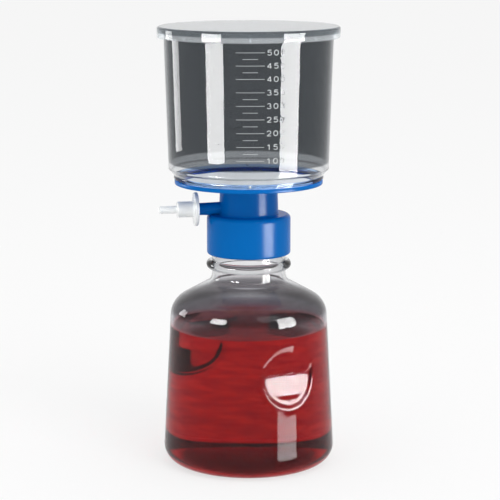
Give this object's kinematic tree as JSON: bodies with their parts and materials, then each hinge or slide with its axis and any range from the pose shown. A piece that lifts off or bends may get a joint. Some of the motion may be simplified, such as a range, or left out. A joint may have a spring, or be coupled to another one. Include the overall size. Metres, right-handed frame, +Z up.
{
  "type": "vacuum filtration unit",
  "caption": "Disposable vacuum filtration unit: lidded graduated upper chamber and membrane on an adapter with a side arm, screwed onto a receiver bottle part-filled with red medium.",
  "frame": {"origin": "on the unit's axis, in the plane that the receiver bottle stands on", "axes": "+Z up along the axis of the bottle, adapter, chamber and lid; -X along the side arm, from the axis towards the hose nozzle"},
  "size_m": [0.105, 0.105, 0.2555],
  "materials": {
    "clear_bottle": "clear glossy polystyrene",
    "red_medium": "clear red liquid",
    "seal_ring": "soft white gasket",
    "blue_moulding": "glossy opaque blue plastic",
    "cotton_plug": "packed white cotton",
    "white_membrane": "matt white porous sheet",
    "clear_chamber": "clear glossy polystyrene with frosted marks",
    "clear_lid": "clear, faintly hazy polystyrene",
    "white_fitting": "semi-matt white plastic"
  },
  "bodies": {
    "receiver": {"bottle": "clear_bottle", "medium": "red_medium"},
    "seal_ring": {"bottle_seal": "seal_ring"},
    "filter_head": {"adapter": "blue_moulding", "vacuum_plug": "cotton_plug", "membrane": "white_membrane", "chamber": "clear_chamber"},
    "lid": {"lid": "clear_lid"},
    "tubing_adapter": {"tubing_adapter": "white_fitting"}
  },
  "joints": [
    {"name": "head_rise", "type": "slide", "parent": "receiver", "child": "seal_ring", "axis": [0, 0, 1], "range_m": [0, 0.0211]},
    {"name": "head_unscrew", "type": "hinge", "parent": "seal_ring", "child": "filter_head", "pos_m": [0, 0, 0.1431], "axis": [0, 0, 1], "range_deg": [0, 1800]},
    {"name": "lid_lift", "type": "slide", "parent": "filter_head", "child": "lid", "axis": [0, 0, 1], "range_m": [0, 0.03]},
    {"name": "tubing_adapter_pull", "type": "slide", "parent": "filter_head", "child": "tubing_adapter", "axis": [-1, 0, 0], "range_m": [0, 0.02]}
  ],
  "couplings": [
    {"joint": "head_rise", "follows": "head_unscrew", "m_per_rad": 0.00066845}
  ]
}
